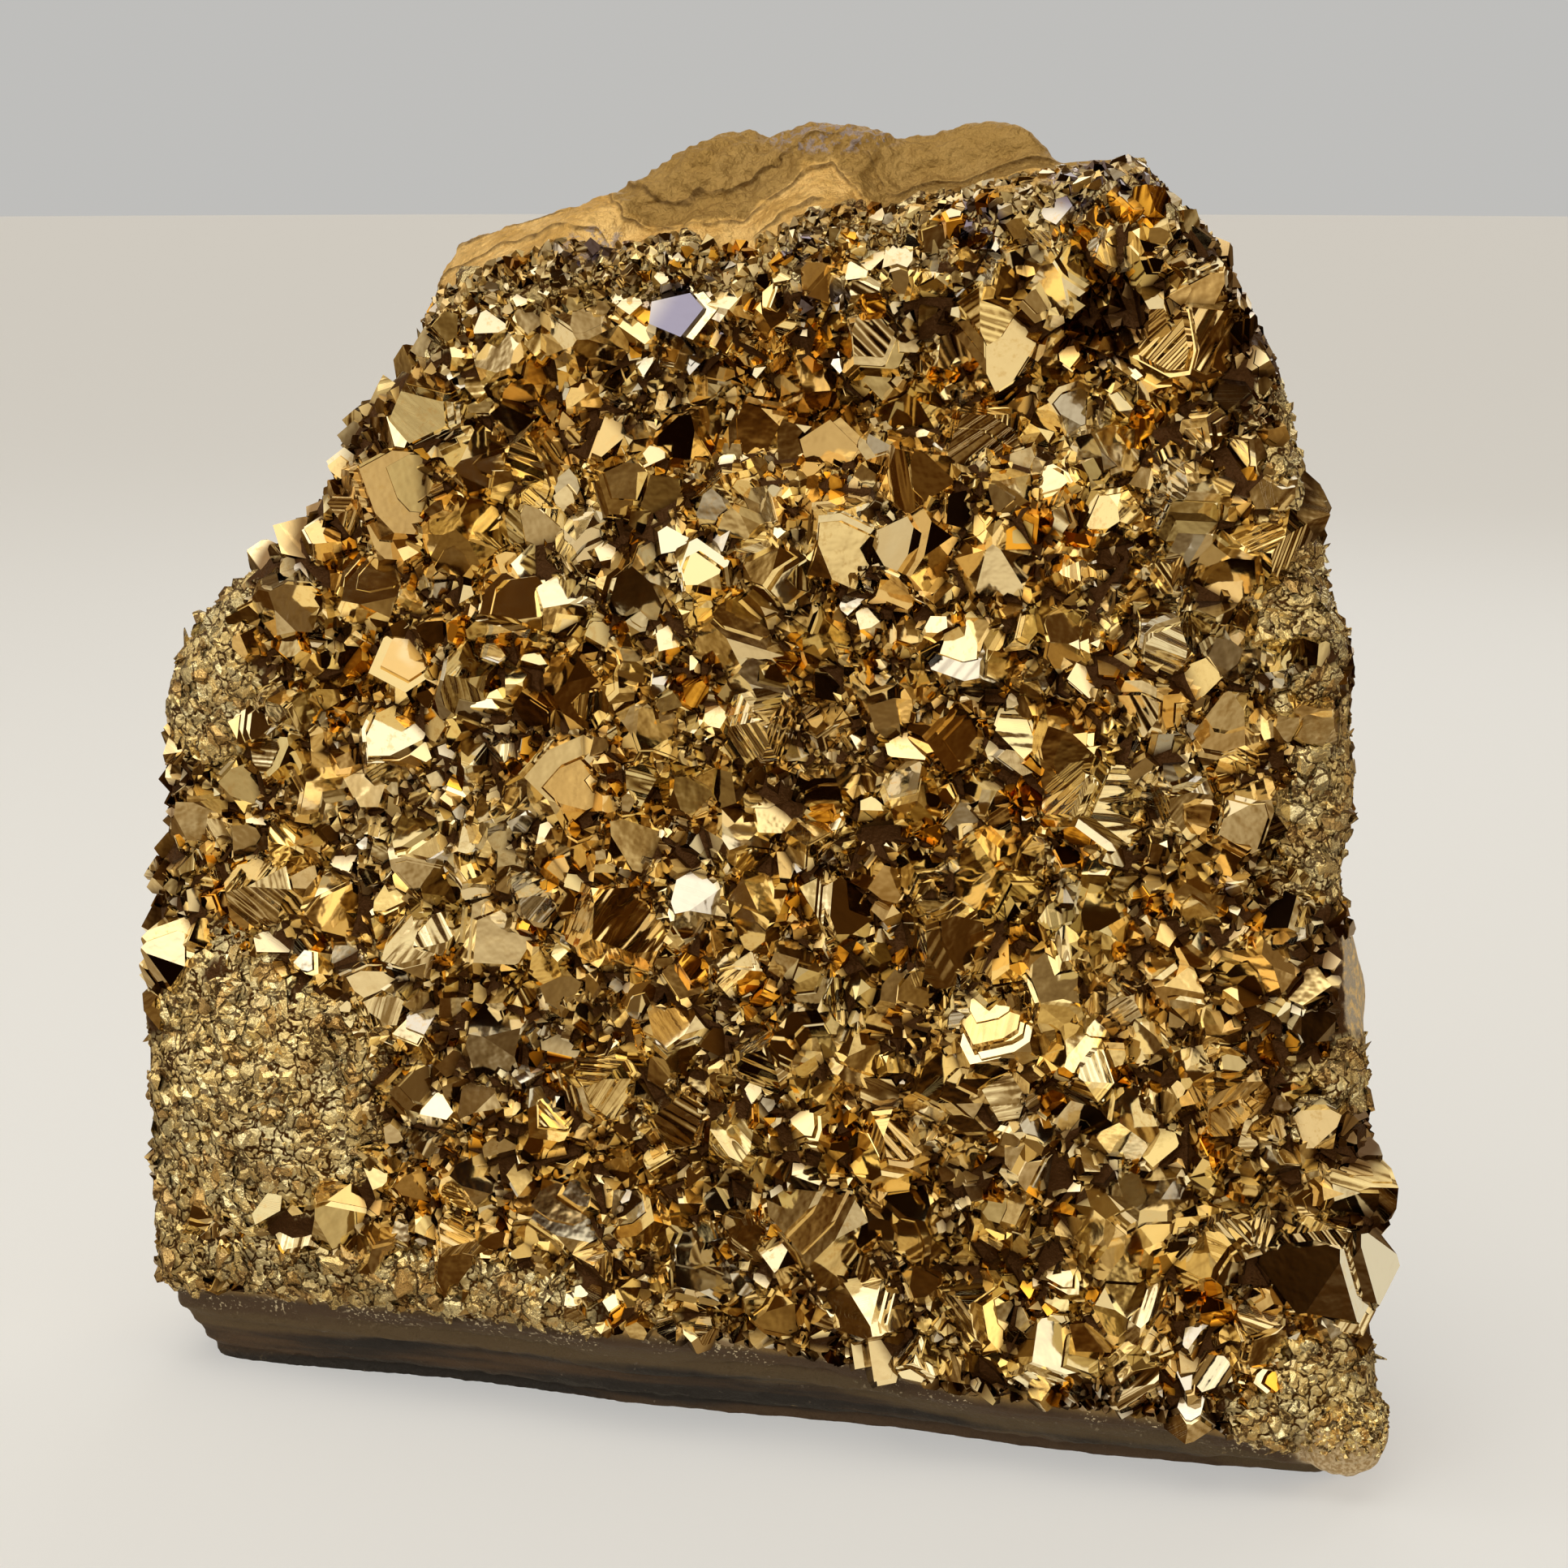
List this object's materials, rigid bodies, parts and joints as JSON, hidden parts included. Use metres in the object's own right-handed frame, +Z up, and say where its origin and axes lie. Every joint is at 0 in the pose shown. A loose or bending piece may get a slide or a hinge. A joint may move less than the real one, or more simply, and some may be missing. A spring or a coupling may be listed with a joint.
{
  "type": "aura amethyst druse",
  "caption": "Free-standing slab of geode wall with a sawn base, its front covered in gold-coated amethyst points below a bare rock brow.",
  "frame": {"origin": "middle of the footprint's bounding box, on the surface the sawn base rests on", "axes": "+X to the right seen from the crystal side, +Y from the crystal face through the slab to its back, +Z up"},
  "size_m": [0.1598, 0.0614, 0.1575],
  "materials": {
    "gold_aura_stone": "gold vapour-coated quartz points and rock, matt sawn base"
  },
  "bodies": {
    "root": {"amethyst_druse": "gold_aura_stone"}
  },
  "joints": []
}
